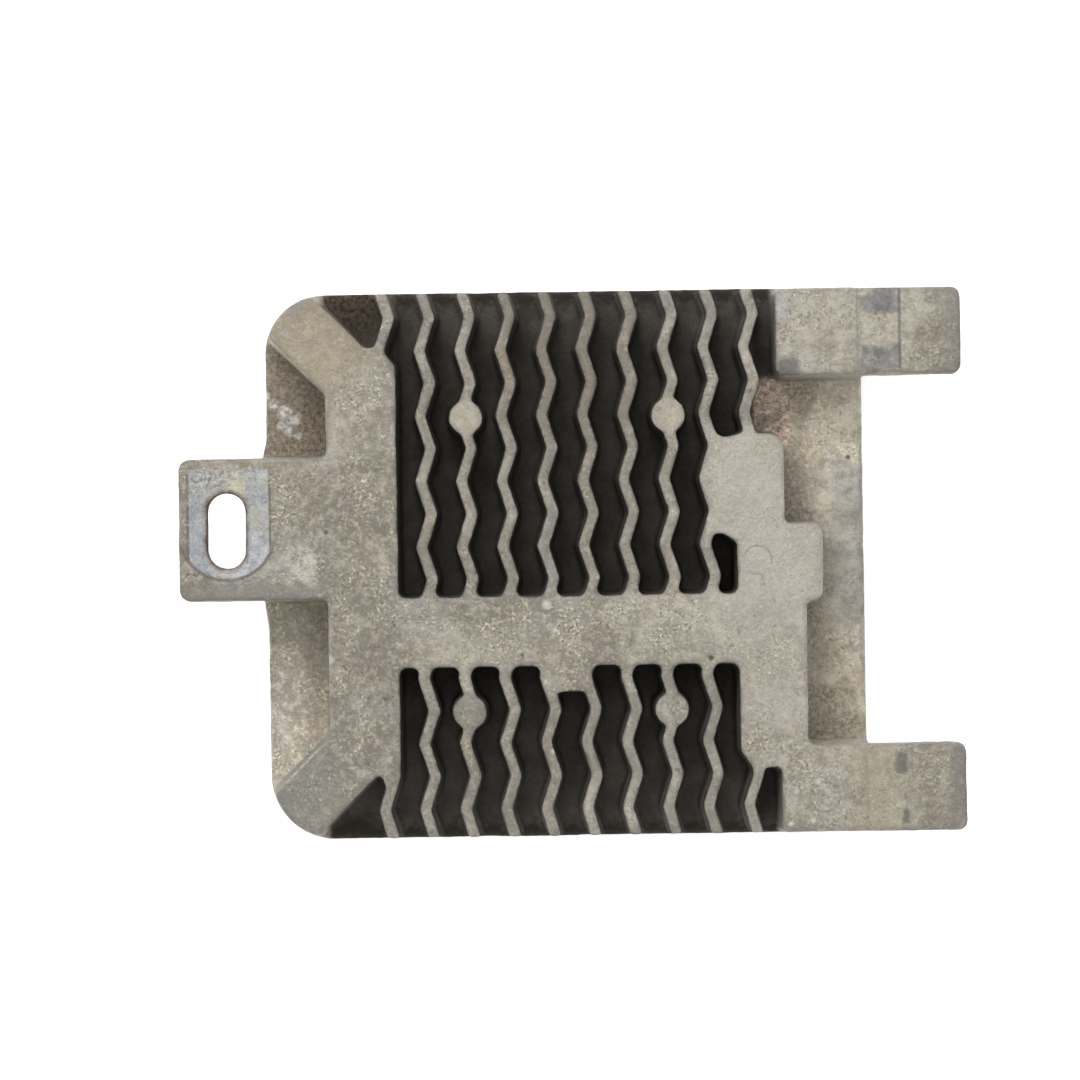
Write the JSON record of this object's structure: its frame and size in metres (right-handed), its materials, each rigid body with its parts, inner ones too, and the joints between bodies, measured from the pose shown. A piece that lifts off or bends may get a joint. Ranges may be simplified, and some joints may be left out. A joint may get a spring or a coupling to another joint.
{
  "type": "heat sink",
  "caption": "Die-cast aluminium cooler: thin plate with zigzag fins either side of a cross web, a slotted fixing lug and flat tongues at the far end.",
  "frame": {"origin": "middle of the outline, on the flat back of the plate", "axes": "+Z out of the fins, +X from the slotted lug towards the two tongues, +Y towards the bank of long fins"},
  "size_m": [0.1404, 0.0986, 0.027],
  "materials": {
    "plate": "as cast, dusty",
    "fins": "as cast, weathered",
    "webs": "as cast, weathered",
    "lug": "as cast, rubbed clean round the slot",
    "tongues": "as cast, with a machined seat"
  },
  "bodies": {
    "root": {"base_plate": "plate", "boss": "webs", "cross_web": "webs", "left_web": "webs", "lower_corner_arm": "webs", "lower_fin_01": "fins", "lower_fin_02": "fins", "lower_fin_03": "fins", "lower_fin_04": "fins", "lower_fin_05": "fins", "lower_fin_06": "fins", "lower_fin_07": "fins", "lower_fin_08": "fins", "lower_fin_09": "fins", "lower_fin_10": "fins", "lower_tongue": "tongues", "right_web": "webs", "slotted_lug": "lug", "upper_corner_arm": "webs", "upper_fin_01": "fins", "upper_fin_02": "fins", "upper_fin_03": "fins", "upper_fin_04": "fins", "upper_fin_05": "fins", "upper_fin_06": "fins", "upper_fin_07": "fins", "upper_fin_08": "fins", "upper_fin_09": "fins", "upper_fin_10": "fins", "upper_tongue": "tongues", "web_gusset": "webs"}
  },
  "joints": []
}
